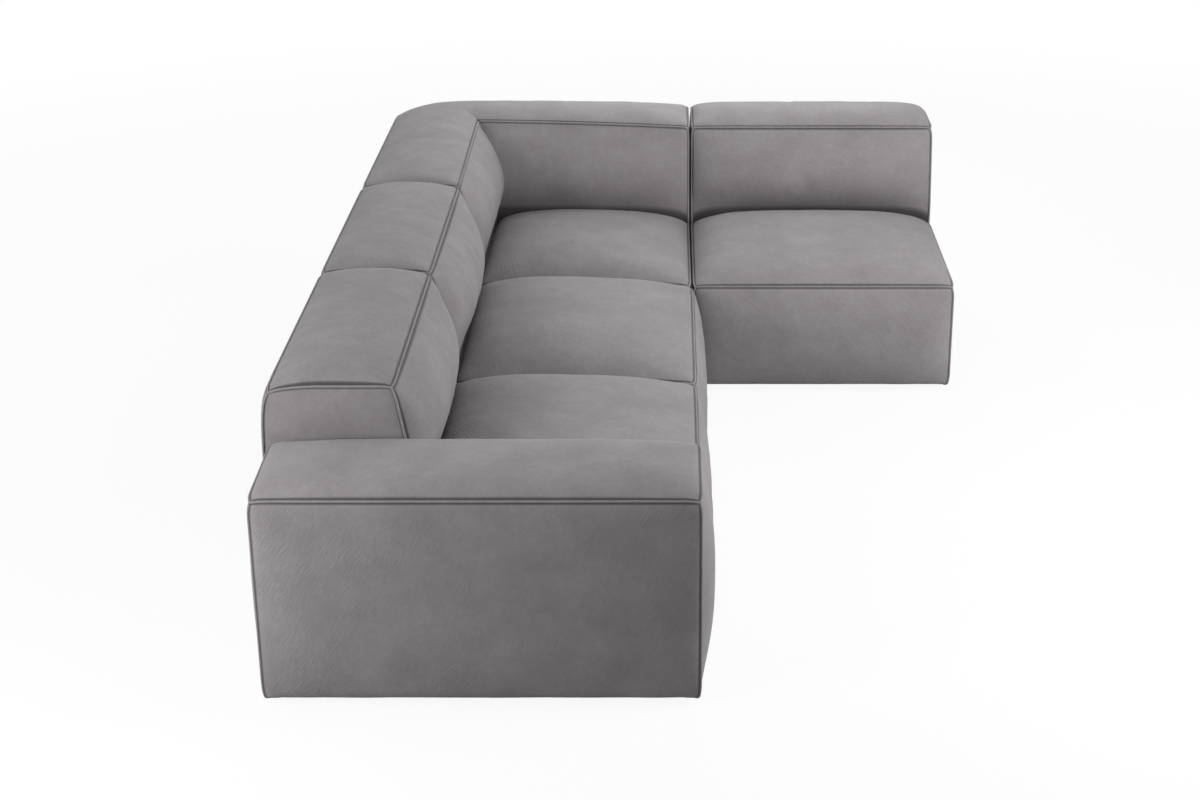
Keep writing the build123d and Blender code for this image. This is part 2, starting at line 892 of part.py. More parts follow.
def make_frame_bolts(unit):
    """Bolts with nuts that hold the frames of a unit's blocks together."""
    centres = back_bolt_centres(unit)
    nut_seat, grip = back_bolt_reach(unit)
    tail = nut_height + bolt_tail
    with BuildPart() as bolts:
        extrude(circles(unit.along(nut_seat + tail), centres, bolt_radius), amount=grip + tail)
        extrude(hexagons(unit.along(nut_seat - grip), centres, bolt_head_radius), amount=bolt_head_height)
        add(make_nuts(unit.along(nut_seat), centres, -nut_height))
        if unit is corner_unit:
            mirror(about=mitre_plane)
        if unit is end_unit:
            head_seat, arm_grip = arm_bolt_reach()
            arm_heads = unit.across(head_seat)
            arm_centres = arm_bolt_centres()
            extrude(circles(arm_heads, arm_centres, bolt_radius), amount=arm_grip + tail)
            extrude(hexagons(arm_heads, arm_centres, bolt_head_radius), amount=-bolt_head_height)
            add(make_nuts(unit.across(head_seat + arm_grip), arm_centres, nut_height))
    return bolts.part


def hook_profile(plane):
    """Section of a hook: a plate under the holder, a strip across the seam and a standing tongue."""
    corners = [
        (-plate_high, frame_clearance),
        (-plate_high, plate_bottom),
        (-plate_low - plate_thickness, plate_bottom),
        (-plate_low - plate_thickness, strip_bottom),
        (tongue_high, strip_bottom),
        (tongue_high, tongue_top),
        (tongue_low, tongue_top),
        (tongue_low, strip_top),
        (-plate_low, strip_top),
        (-plate_low, frame_clearance),
    ]
    return polygon(plane, corners)


def make_connectors(unit):
    """Hooks for the units that hang on this one, and keepers for the hooks of its neighbours."""
    half_slot = tongue_width / 2 + tongue_clearance
    slot = (tongue_low - tongue_clearance, tongue_high + tongue_clearance, -half_slot, half_slot)
    keeper = (plate_low, plate_high, -keeper_width / 2, keeper_width / 2)
    with BuildPart() as plates:
        for connector in connectors:
            under = connector.under()
            if connector.holder is unit:
                extrude(hook_profile(connector.plane), amount=tongue_width / 2, both=True)
            if connector.hanger is unit:
                extrude(rectangles(under, [keeper]), amount=-plate_thickness)
                extrude(rectangles(under, [slot]), amount=-plate_thickness, mode=Mode.SUBTRACT)
        hole_radius = screw_radius + screw_clearance
        sink_radius = screw_head_radius + screw_clearance
        for under, places in connector_screws(unit):
            with Locations(under):
                with Locations(*places):
                    CounterSinkHole(hole_radius, sink_radius, plate_thickness, counter_sink_angle=90)
    return plates.part


def make_connector_screws(unit):
    """Countersunk screws that hold the connector plates to the rails."""
    head_height = screw_head_radius - screw_radius
    upright = (Align.CENTER, Align.CENTER, Align.MIN)
    with BuildPart() as screws:
        for under, places in connector_screws(unit):
            extrude(circles(under, places, screw_radius), amount=-screw_length)
            with Locations(under):
                with Locations(*[(x, y, -head_height) for x, y in places]):
                    Cone(screw_radius, screw_head_radius, head_height, align=upright)
    return screws.part


def save(part, name):
    """Label a finished piece and write its file."""
    part.label = name
    export_step(part, f"parts/{name}.step")


os.makedirs("parts", exist_ok=True)

for unit in units:
    save(make_seat_frame(unit), f"{unit.name}_seat_frame")
    save(make_seat_springs(unit), f"{unit.name}_seat_springs")
    save(make_spring_clips(unit), f"{unit.name}_spring_clips")
    save(make_seat_foam(unit), f"{unit.name}_seat_foam")
    save(make_seat_cover(unit), f"{unit.name}_seat_cover")
    save(make_back_frame(unit), f"{unit.name}_back_frame")
    save(make_back_webbing(unit), f"{unit.name}_back_webbing")
    save(make_back_foam(unit), f"{unit.name}_back_foam")
    save(make_lining(unit), f"{unit.name}_lining")
    save(make_feet(unit), f"{unit.name}_feet")
    save(make_frame_bolts(unit), f"{unit.name}_frame_bolts")
    save(make_connectors(unit), f"{unit.name}_connectors")
    save(make_connector_screws(unit), f"{unit.name}_connector_screws")

for unit in (end_unit, middle_unit, right_unit):
    save(make_back_cover(unit), f"{unit.name}_back_cover")

corner_left_cover = make_back_cover(corner_unit)
save(corner_left_cover, "corner_left_back_cover")
with BuildPart() as corner_rear_cover:
    mirror(corner_left_cover, about=mitre_plane)
save(corner_rear_cover.part, "corner_rear_back_cover")

save(make_arm_frame(end_unit), "end_arm_frame")
save(make_arm_foam(end_unit), "end_arm_foam")
save(make_arm_cover(end_unit), "end_arm_cover")
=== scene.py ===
import math
from dataclasses import dataclass
from typing import Callable

import bpy
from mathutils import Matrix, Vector, noise


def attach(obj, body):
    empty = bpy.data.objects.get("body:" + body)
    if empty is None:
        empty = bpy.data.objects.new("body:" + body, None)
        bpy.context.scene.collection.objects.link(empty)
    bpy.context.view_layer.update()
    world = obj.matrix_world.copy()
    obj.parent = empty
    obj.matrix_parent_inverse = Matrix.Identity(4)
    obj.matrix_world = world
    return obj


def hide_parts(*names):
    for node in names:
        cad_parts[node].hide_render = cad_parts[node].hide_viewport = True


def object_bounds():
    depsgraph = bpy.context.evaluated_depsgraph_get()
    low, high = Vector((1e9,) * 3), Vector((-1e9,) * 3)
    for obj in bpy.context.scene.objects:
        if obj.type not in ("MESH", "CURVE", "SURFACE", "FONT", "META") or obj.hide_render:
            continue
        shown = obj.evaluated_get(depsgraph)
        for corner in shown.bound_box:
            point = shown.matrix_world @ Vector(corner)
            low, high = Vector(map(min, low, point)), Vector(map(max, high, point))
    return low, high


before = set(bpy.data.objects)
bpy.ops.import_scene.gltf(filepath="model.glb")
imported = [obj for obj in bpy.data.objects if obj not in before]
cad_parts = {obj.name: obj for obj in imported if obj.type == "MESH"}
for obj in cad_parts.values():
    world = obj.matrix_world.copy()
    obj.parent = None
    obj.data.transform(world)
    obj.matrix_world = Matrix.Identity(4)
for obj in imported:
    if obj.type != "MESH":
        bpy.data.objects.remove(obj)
cad_low, cad_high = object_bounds()

# Units, in metres
unit_depth = 1.05
seat_width = 0.85
arm_width = 0.325
arm_height = 0.54
back_height = 0.695
cover_bottom = 0.020

# Seats: their edges, then what the padding adds or takes away
seat_depth = 0.6955
seat_rear_gap = 0.003
seat_edge_height = 0.361
seat_line_height = 0.42
seat_rise = 0.036
seat_crown = 0.050
seat_front_swell = 0.032
seat_press = 0.013
seat_press_power = 3
seat_roll = 0.020
seat_roll_reach = 0.060
corner_crown_loss = 0.4
corner_rise_loss = 0.75

# Backs
back_front = 0.6965
back_lean = math.radians(10)
back_crown = 0.024
back_front_swell = 0.063
back_rear_swell = 0.015
back_rear_puff = 0.022
end_drop = 0.014
end_drop_reach = 0.14
contact_rise = 0.035
# contact_softness sets how fast the painted shade above the seat line fades
contact_softness = 0.2
contact_margin = 0.03

# The corner's back, whose two legs meet at a mitre
corner_front_swell = 0.052
corner_edge_rise = 0.022
corner_edge_power = 1.6
corner_foot_radius = 0.06
corner_radius_gain = 0.08
corner_drop = 0.022
corner_drop_reach = 0.26
corner_top_power = 4
mitre_ease = 1.2
crease_depth = 0.004
crease_width = 0.012
crease_length = 0.04

# The arm
arm_gap = 0.001
arm_crown = 0.026
arm_rise = 0.009
arm_swell = 0.020
arm_left_swell = 0.026
arm_right_swell = 0.036

# Leather beside the seams
seam_inset = 0.006
seam_clearance = 0.0005
seam_swell = seam_inset - seam_clearance
open_end_swell = 0.012
puff = 0.007
puff_reach = 0.028
front_puff_rise = 4 * puff_reach
crest = 0.010
crest_reach = 0.050
ripple = 0.0016
ripple_size = 0.09
ripple_fade = 0.10
ripple_shift = 7
corner_reach = 0.042
corner_pull = 0.005
foot_drop = 0.005
hem_radius = 0.009
hem_width = 0.040
hem_step = 0.010
underside_rise = 0.0026

# Powers of the swellings: the higher, the flatter the panel and the steeper its edges
dome_power = 2.5
steep_power = 12
rise_power = 5
seat_top_power = 4
back_top_power = 2.6
back_rear_power = 6
arm_length_power = 6
arm_width_power = 4
arm_face_power = 3
seam_depth_power = 6
seat_seam_power = 10
back_seam_power = 30

# How much of a plump swelling is steep beside its seams
crown_steepness = 0.5
full_steepness = 0.8
round_steepness = 0.35

# Piping and grid
piping_radius = 0.0032
piping_sides = 10
grid_step = 0.014
edge_steps = (0.0, 0.0035, 0.008, 0.014, 0.021, 0.03)

# Directions of the nap on the panels
arm_nap = -0.57
left_nap = -1.05
far_nap = 0.96

# Settling of the leather
settle_frames = 12
settle_pressure = 4.0
settle_spare = 0.006
settle_cap = 0.004

# Planes of the units, from the frame
left_plane = cad_low.x + back_rear_swell
near_plane = cad_low.y + arm_swell
front_x = left_plane + unit_depth
end_y = near_plane + arm_width
middle_y = end_y + seat_width
corner_y = middle_y + seat_width
mitre_sum = front_x + corner_y


def left_leg(base):
    return lambda u, v, z: Vector((front_x - v, base + u, z))


def far_leg(u, v, z):
    return Vector((front_x + u, corner_y + v, z))


def clamp(value):
    return min(1.0, max(0.0, value))


def swell(share, power=2.0):
    return 1 - abs(2 * share - 1) ** power


def plump(a, steepness=crown_steepness):
    """The share of a swelling at the share a of a panel: steep beside its seams, then a long dome."""
    return steepness * swell(a, steep_power) + (1 - steepness) * swell(a, dome_power)


def full_share(a):
    return plump(a, full_steepness)


def round_share(a):
    return plump(a, round_steepness)


def leg_share(a):
    """The full share on a leg of the corner, which is half of a panel."""
    return full_share(a / 2)


def leg_belly(a):
    return round_share(a / 2)


def rise_share(a):
    return swell(a, rise_power)


def falling(share, loss):
    """A share that keeps its near half and loses only part of its value at the far end."""
    return lambda a: share(a) if a < 0.5 else 1 - loss * (2 * a - 1) ** 2


def pressed(share, z):
    """How far a seat and a back press each other in at the height z."""
    return seat_press * share * clamp(z / seat_line_height) ** seat_press_power


def rounding(distance, reach):
    """A quarter round: 0 at no distance, 1 from the reach on."""
    if distance >= reach:
        return 1.0
    return math.sqrt(1 - (1 - distance / reach) ** 2)


def eased(a, b, width):
    """The share b beside the mitre, drawn on so that the tops of the two legs meet without a fold."""
    gap = (1 - a) * (back_front + b * width)
    along = clamp(b - gap / (2 * width))
    reach = mitre_ease * along * (1 - along) * width
    return clamp(b + (math.hypot(gap, reach) - gap) / (2 * width))


def hem_inset(z):
    """How far the leather is drawn in at the height z, where it turns under at the hem."""
    drop = max(0.0, hem_radius - (z - cover_bottom))
    return hem_radius - math.sqrt(hem_radius**2 - drop**2)


def round_corner(u, v, z, c):
    """Rounds the outer corner, more so towards the top, and lowers it there."""
    upper = c**corner_top_power
    centre = unit_depth - corner_foot_radius - corner_radius_gain * upper
    past_u = max(0.0, u - centre)
    past_v = max(0.0, v - centre)
    if past_u and past_v:
        scale = max(past_u, past_v) / math.hypot(past_u, past_v)
        u = centre + past_u * scale
        v = centre + past_v * scale
    gap = math.hypot(unit_depth - u, unit_depth - v)
    z -= corner_drop * clamp(1 - gap / corner_drop_reach) ** 2 * upper
    return u, v, z


def no_hollow(a, b, z):
    return 1.0


@dataclass
class Block:
    """A padded block. Its shares a, b and c run along its length, from front to rear, and up.

    A turned block has two legs: a runs to 1 at the mitre and on to 2, mirrored.
    """

    name: str
    body: str
    nodes: tuple
    place: Callable
    span: Callable
    front: Callable
    rear: Callable
    top: Callable
    lengths: tuple
    left_end: Callable
    right_end: Callable
    front_puff: Callable
    rear_puff: Callable
    turned: bool = False
    contact: Callable = None
    open_front: bool = True
    # hollow gives the distance that sets the painted shade in the colour; no_hollow paints none
    hollow: Callable = no_hollow
    nap: float = 0.0
    fill: float = 0.85

    def gaps(self, a, b, c):
        """The distances over the leather to the nearest end and side, the top and the bottom."""
        length_a, length_b, length_c = self.lengths
        near_a = a if self.turned else min(a, 1 - a)
        return near_a * length_a, min(b, 1 - b) * length_b, (1 - c) * length_c, c * length_c

    def wave(self, a, b, c):
        """Slight waves of the leather, which fade beside the seams."""
        length_a, length_b, length_c = self.lengths
        from_end, from_side, from_top, from_bottom = self.gaps(a, b, c)
        spot = Vector((a * length_a, b * length_b, c * length_c)) / ripple_size
        shift = Vector((len(self.name), length_b, length_c)) * ripple_shift
        fade = rounding(sorted((from_end, from_side, from_top))[1], ripple_fade)
        return ripple * noise.noise(spot + shift) * fade

    def top_lift(self, a, b, side):
        """What the padding adds to the top panel beside its seams."""
        length_a, length_b, length_c = self.lengths
        from_end, from_side, from_top, from_bottom = self.gaps(a, b, 1)
        lift = self.wave(a, b, 1)
        lift += puff * rounding(from_end, puff_reach) * rounding(from_side, puff_reach)
        lift += crest * rounding(from_end, crest_reach) * swell(side)
        if self.turned:
            across = clamp(1 - (1 - a) * length_a / crease_width)
            lift -= crease_depth * across**2 * clamp(1 - b * length_b / crease_length)
        return lift

    def point(self, a, b, c):
        far_half = self.turned and a > 1
        if far_half:
            a = 2 - a
        side = eased(a, b, self.lengths[1]) if self.turned else b
        z = cover_bottom + c * (self.top(a, side) - cover_bottom)
        foot = hem_inset(z)
        front = self.front(a, z) + foot
        rear = self.rear(a, z) - foot
        v = front + b * (rear - front)
        from_end, from_side, from_top, from_bottom = self.gaps(a, b, c)
        if c == 0:
            z += underside_rise * clamp((min(from_end, from_side) - hem_width) / hem_step)
        if c == 1:
            z += self.top_lift(a, b, side)
        lift = 1.0
        for gap in (from_end, from_top, from_bottom):
            lift *= rounding(gap, puff_reach)
        if b == 0:
            v -= self.wave(a, b, c) + lift * self.front_puff(z)
        if b == 1:
            v += lift * self.rear_puff(z)
        nearness = 1.0
        for gap in (from_end, from_side, min(from_top, from_bottom)):
            nearness *= max(0.0, 1 - gap / corner_reach)
        pull = corner_pull * nearness**2
        v += pull if b < 0.5 else -pull
        z -= foot_drop * nearness if c < 0.5 else pull
        low, high = self.span(v)
        low += foot
        if not self.turned:
            high -= foot
        u = low + a * (high - low)
        u += pull if a < 0.5 else -pull
        if a == 0:
            u -= self.left_end(b, c)
        if a == 1 and not self.turned:
            u += self.right_end(b, c)
        if self.turned:
            u, v, z = round_corner(u, v, z, c)
        spot = self.place(u, v, z)
        if far_half:
            spot = Vector((mitre_sum - spot.y, mitre_sum - spot.x, z))
        return spot


# End panels: how far each stands out at its shares b and c
def seat_seam_end(b, c):
    return seam_swell * swell(b, seam_depth_power) * swell(c, seat_seam_power)


def back_seam_end(b, c):
    return seam_swell * swell(b, seam_depth_power) * swell(c, back_seam_power)


def domed_end(bulge):
    return lambda b, c: bulge * swell(b, dome_power) * swell(c, dome_power)


def near_end(b, c):
    above = (c * back_height - arm_height) / (back_height - arm_height)
    return open_end_swell * swell(b) * swell(clamp(above))


def flat_end(b, c):
    return 0.0


def pressed_end(b, c):
    return -pressed(leg_share(b), c * seat_line_height)


def seat(name, place, length, low_gap, high_gap, right_end):
    in_corner = name == "corner"
    crown = plump
    rise = rise_share
    press = full_share
    if in_corner:
        crown = falling(plump, corner_crown_loss)
        rise = falling(rise_share, corner_rise_loss)
        press = leg_share

    def top(a, b):
        rolled = seat_roll * (1 - rounding((1 - b) * seat_depth, seat_roll_reach))
        dome = seat_crown * crown(a) * swell(b, seat_top_power)
        return seat_edge_height + (seat_rise * b - rolled) * rise(a) + dome

    def front(a, z):
        if in_corner:
            return seam_inset
        return -seat_front_swell * full_share(a) * swell(clamp(z / seat_edge_height), dome_power)

    return Block(
        name=f"{name}_seat_pad",
        body=name,
        nodes=(f"{name}_seat_cover", f"{name}_seat_foam"),
        place=place,
        span=lambda v: (low_gap, length - high_gap),
        front=front,
        rear=lambda a, z: seat_depth - seat_rear_gap - pressed(press(a), z),
        top=top,
        lengths=(length, seat_depth, seat_edge_height),
        left_end=flat_end if name == "end" else seat_seam_end,
        right_end=right_end,
        front_puff=lambda z: seam_swell if in_corner else puff,
        rear_puff=lambda z: 0.0,
        open_front=not in_corner,
        # Painted shade: the seat's colour darkens towards its rear, beside the back
        hollow=lambda a, b, z: (1 - b) * seat_depth,
        nap=far_nap if name == "right" else left_nap,
    )


def back(name, place, length, low_gap, high_gap, left_end, right_end):
    turned = name == "corner"
    share = leg_share if turned else full_share
    belly = leg_belly if turned else round_share
    fullness = corner_front_swell if turned else back_front_swell
    covers = (f"{name}_back_cover",)
    if turned:
        covers = ("corner_left_back_cover", "corner_rear_back_cover")

    def top(a, b):
        rise = corner_edge_rise * (1 - (1 - a) ** corner_edge_power) if turned else 0.0
        drop = 0.0
        if name in ("end", "right"):
            along = length * (a if name == "end" else 1 - a)
            gap = math.hypot(along, (1 - b) * (unit_depth - back_front))
            drop = end_drop * clamp(1 - gap / end_drop_reach) ** 2
        dome = share(a) * back_crown * swell(b, back_top_power)
        return back_height - drop + rise * (1 - b) + dome

    def front(a, z):
        up = clamp((z - seat_line_height) / (back_height - seat_line_height))
        line = back_front + up * (back_height - seat_line_height) * math.tan(back_lean)
        bulge = fullness * belly(a) * swell(up)
        return line - bulge - pressed(share(a), z) * (1 - up) ** 2

    def rear(a, z):
        full = share(a)
        if (name == "end" and a < 0.5) or (name == "right" and a > 0.5):
            full = 1
        return unit_depth + back_rear_puff * full * swell(clamp(z / back_height), back_rear_power)

    def contact(a):
        return seat_edge_height + contact_rise * share(a)

    return Block(
        name=f"{name}_back_pad",
        body=name,
        nodes=(*covers, f"{name}_back_foam"),
        place=place,
        span=lambda v: (low_gap, v if turned else length - high_gap),
        front=front,
        rear=rear,
        top=top,
        lengths=(length, unit_depth - back_front, back_height),
        left_end=left_end,
        right_end=right_end,
        front_puff=lambda z: puff * clamp((z - seat_line_height) / front_puff_rise),
        rear_puff=lambda z: puff,
        turned=turned,
        contact=contact,
        # Painted shade: the back's front darkens towards the seat line
        hollow=lambda a, b, z: 1.0 if b > 0 else z - contact(a),
        nap=far_nap if name == "right" else left_nap,
    )


def arm():
    def top(a, b):
        dome = arm_crown * swell(a, arm_length_power) * swell(b, arm_width_power)
        return arm_height + arm_rise * b + dome

    def outer(a, z):
        return -arm_swell * full_share(a) * swell(clamp(z / arm_height), arm_face_power)

    return Block(
        name="end_arm_pad",
        body="end",
        nodes=("end_arm_cover", "end_arm_foam"),
        place=lambda u, v, z: Vector((left_plane + u, near_plane + v, z)),
        span=lambda v: (0.0, unit_depth),
        front=outer,
        rear=lambda a, z: arm_width - seam_inset,
        top=top,
        lengths=(unit_depth, arm_width, arm_height),
        left_end=domed_end(arm_left_swell),
        right_end=domed_end(arm_right_swell),
        front_puff=lambda z: puff,
        rear_puff=lambda z: seam_swell,
        nap=arm_nap,
    )


end_place = left_leg(end_y)
middle_place = left_leg(middle_y)
corner_place = left_leg(corner_y)
open_end = domed_end(open_end_swell)
blocks = [
    arm(),
    seat("end", end_place, seat_width, arm_gap, seam_inset, seat_seam_end),
    seat("middle", middle_place, seat_width, seam_inset, seam_inset, seat_seam_end),
    seat("corner", corner_place, seat_depth, seam_inset, seat_rear_gap, pressed_end),
    seat("right", far_leg, seat_width, seam_inset, 0.0, open_end),
    back("end", end_place, seat_width, arm_gap, seam_inset, near_end, back_seam_end),
    back("middle", middle_place, seat_width, seam_inset, seam_inset, back_seam_end, back_seam_end),
    back("right", far_leg, seat_width, seam_inset, 0.0, back_seam_end, open_end),
    back("corner", corner_place, unit_depth, seam_inset, 0.0, back_seam_end, flat_end),
]


# Nodes of the materials
white = (1.0, 1.0, 1.0)
cloud_roughness = 0.55
cloud_low = 0.32
cloud_high = 0.68
mix_first = 6
mix_second = 7
mix_result = 2


def material(name):
    made = bpy.data.materials.new(name)
    made.use_nodes = True
    tree = made.node_tree
    return made, tree, tree.nodes["Principled BSDF"]


def add(tree, kind, **values):
    node = tree.nodes.new(kind)
    for key, value in values.items():
        if key in node.inputs:
            node.inputs[key].default_value = value
        else:
            setattr(node, key, value)
    return node


def multiply(tree, first, second):
    mix = add(tree, "ShaderNodeMix", data_type="RGBA", blend_type="MULTIPLY")
    mix.inputs["Factor"].default_value = 1.0
    tree.links.new(first, mix.inputs[mix_first])
    tree.links.new(second, mix.inputs[mix_second])
    return mix.outputs[mix_result]


def ramped(tree, value, low, high, low_colour, high_colour):
    ramp = add(tree, "ShaderNodeValToRGB")
    ramp.color_ramp.elements[0].position = low
    ramp.color_ramp.elements[1].position = high
    ramp.color_ramp.elements[0].color = (*low_colour, 1)
    ramp.color_ramp.elements[1].color = (*high_colour, 1)
    tree.links.new(value, ramp.inputs["Fac"])
    return ramp.outputs["Color"]


def noise_value(tree, vector, scale, detail, roughness=0.5):
    cloud = add(tree, "ShaderNodeTexNoise", Scale=scale, Detail=detail, Roughness=roughness)
    tree.links.new(vector, cloud.inputs["Vector"])
    return cloud.outputs["Fac"]


def noise_ramp(tree, vector, scale, low, high, detail=4.0):
    cloud = noise_value(tree, vector, scale, detail, cloud_roughness)
    return ramped(tree, cloud, cloud_low, cloud_high, low, high)


def bump(tree, height, strength, distance, below=None):
    node = add(tree, "ShaderNodeBump", Strength=strength, Distance=distance)
    tree.links.new(height, node.inputs["Height"])
    if below is not None:
        tree.links.new(below, node.inputs["Normal"])
    return node.outputs["Normal"]


def set_shader(shader, **values):
    for key, value in values.items():
        shader.inputs[key.replace("_", " ")].default_value = value


# Nubuck leather
leather_light = (0.360, 0.341, 0.346)
leather_dark = (0.312, 0.294, 0.298)
leather_scale = 7.0
patch_dark = (0.94, 0.937, 0.94)
patch_scale = 24.0
fine_dark = (0.93, 0.925, 0.93)
fine_scale = 70.0
streak_light = (1.02, 1.02, 1.02)
streak_dark = (0.965, 0.965, 0.965)
streak_low = 0.3
streak_high = 0.7
stroke_size = (0.005, 0.028, 1.0)
stroke_bend = (0.05, 0.05, 0.0)
stroke_bend_scale = 4.0
# Painted shade: the colour darkened in the creases beside the seams and on the backs' fronts just
# above the seats, fading out between crease_near and crease_far of the seam value
painted_crease_shade = (0.25, 0.24, 0.25)
crease_near = 0.0035
crease_far = 0.0062
# Painted shade: the colour darkened towards the rear of the seats and at the foot of the backs'
# fronts, fading out over hollow_reach
painted_hollow_shade = (0.78, 0.77, 0.775)
hollow_reach = 0.13
relief_near = 0.02
relief_far = 0.20
relief_far_share = (0.5, 0.5, 0.5)
scatter_low = (0.25, 0.25, 0.25)
scatter_scale = 6.0
stroke_relief = 0.0019
grain_scale = 520.0
grain_relief = 0.001
grain_strength = 0.15


def nap_strokes(tree, vector):
    """Hair-like strokes along the nap: noise drawn out in the direction that the attribute gives."""
    angle = add(tree, "ShaderNodeAttribute", attribute_name="nap")
    turn = add(tree, "ShaderNodeCombineXYZ")
    tree.links.new(angle.outputs["Fac"], turn.inputs["Z"])
    bend = add(tree, "ShaderNodeTexNoise", Scale=stroke_bend_scale, Detail=1.0)
    tree.links.new(vector, bend.inputs["Vector"])
    offset = add(tree, "ShaderNodeVectorMath", operation="MULTIPLY_ADD")
    tree.links.new(bend.outputs["Color"], offset.inputs[0])
    offset.inputs[1].default_value = stroke_bend
    tree.links.new(vector, offset.inputs[2])
    mapping = add(tree, "ShaderNodeMapping", vector_type="TEXTURE", Scale=stroke_size)
    tree.links.new(offset.outputs["Vector"], mapping.inputs["Vector"])
    tree.links.new(turn.outputs["Vector"], mapping.inputs["Rotation"])
    return noise_value(tree, mapping.outputs["Vector"], scale=1.0, detail=2.0)


def leather_material(name):
    made, tree, shader = material(name)
    where = add(tree, "ShaderNodeTexCoord").outputs
    seam = add(tree, "ShaderNodeAttribute", attribute_name="seam").outputs["Fac"]
    depth = add(tree, "ShaderNodeAttribute", attribute_name="depth").outputs["Fac"]
    strokes = nap_strokes(tree, where["UV"])
    colour = noise_ramp(tree, where["Object"], leather_scale, leather_dark, leather_light)
    patches = noise_ramp(tree, where["Object"], patch_scale, patch_dark, white, detail=5.0)
    fine = noise_ramp(tree, where["Object"], fine_scale, fine_dark, white, detail=6.0)
    streaks = ramped(tree, strokes, streak_low, streak_high, streak_dark, streak_light)
    # Painted shade in the seam creases and above the seat line
    seam_painted_shade = ramped(tree, seam, crease_near, crease_far, painted_crease_shade, white)
    # Painted shade towards the seats' rears and the foot of the backs
    hollow = ramped(tree, depth, 0.0, hollow_reach, painted_hollow_shade, white)
    for layer in (patches, fine, streaks, seam_painted_shade, hollow):
        colour = multiply(tree, colour, layer)
    tree.links.new(colour, shader.inputs["Base Color"])
    near_seams = ramped(tree, seam, relief_near, relief_far, white, relief_far_share)
    scatter = noise_ramp(tree, where["Object"], scatter_scale, scatter_low, white, detail=2.0)
    height = multiply(tree, multiply(tree, scatter, near_seams), strokes)
    soft = bump(tree, height, strength=1.0, distance=stroke_relief)
    grain = noise_value(tree, where["Object"], grain_scale, detail=2.0)
    normal = bump(tree, grain, grain_strength, grain_relief, soft)
    tree.links.new(normal, shader.inputs["Normal"])
    set_shader(shader, Roughness=0.72, Specular_IOR_Level=0.08)
    set_shader(shader, Sheen_Weight=0.12, Sheen_Roughness=0.5)
    return made


# Frame, springs, fittings and filling
relief_distance = 0.001
relief_scale_gain = 4


def plain_material(name, low, high, scale, roughness, metallic=0.0, stretch=None, relief=0.1):
    made, tree, shader = material(name)
    where = add(tree, "ShaderNodeTexCoord").outputs["Object"]
    if stretch:
        mapping = add(tree, "ShaderNodeMapping", Scale=stretch)
        tree.links.new(where, mapping.inputs["Vector"])
        where = mapping.outputs["Vector"]
    tree.links.new(noise_ramp(tree, where, scale, low, high), shader.inputs["Base Color"])
    grain = noise_value(tree, where, scale * relief_scale_gain, detail=3.0)
    tree.links.new(bump(tree, grain, relief, relief_distance), shader.inputs["Normal"])
    set_shader(shader, Roughness=roughness, Metallic=metallic)
    return made


leather = leather_material("nubuck")
piping_leather = leather_material("piping nubuck")
timber = plain_material(
    "pine",
    low=(0.42, 0.27, 0.14),
    high=(0.60, 0.42, 0.24),
    scale=6.0,
    roughness=0.6,
    stretch=(1.0, 1.0, 9.0),
)
steel = plain_material(
    "spring wire",
    low=(0.20, 0.20, 0.21),
    high=(0.30, 0.30, 0.31),
    scale=90.0,
    roughness=0.4,
    metallic=1.0,
)
zinc = plain_material(
    "zinc plate",
    low=(0.45, 0.45, 0.46),
    high=(0.60, 0.60, 0.61),
    scale=120.0,
    roughness=0.35,
    metallic=1.0,
)
black = plain_material(
    "black plastic",
    low=(0.018, 0.018, 0.019),
    high=(0.030, 0.030, 0.031),
    scale=200.0,
    roughness=0.5,
)
foam = plain_material(
    "foam",
    low=(0.72, 0.66, 0.46),
    high=(0.82, 0.77, 0.58),
    scale=150.0,
    roughness=0.9,
    relief=0.3,
)
webbing = plain_material(
    "webbing",
    low=(0.03, 0.03, 0.03),
    high=(0.08, 0.08, 0.08),
    scale=300.0,
    roughness=0.85,
    relief=0.4,
)
lining = plain_material(
    "lining cloth",
    low=(0.012, 0.012, 0.013),
    high=(0.03, 0.03, 0.03),
    scale=700.0,
    roughness=0.95,
)

node_materials = {
    "frame": timber,
    "springs": steel,
    "clips": black,
    "foam": foam,
    "webbing": webbing,
    "lining": lining,
    "feet": black,
    "bolts": zinc,
    "connectors": zinc,
    "screws": zinc,
    "cover": leather,
}
for name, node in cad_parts.items():
    node.data.materials.clear()
    node.data.materials.append(node_materials[name.split("_")[-1]])


# Padded blocks
def spread(length):
    """Shares of a length: close together beside both ends, then even."""
    inner = length - 2 * edge_steps[-1]
    count = max(2, round(inner / grid_step))
    middle = [edge_steps[-1] + inner * k / count for k in range(1, count)]
    ends = [length - step for step in reversed(edge_steps)]
    return [place / length for place in list(edge_steps) + middle + ends]


axis_a = 0
axis_b = 1
axis_c = 2


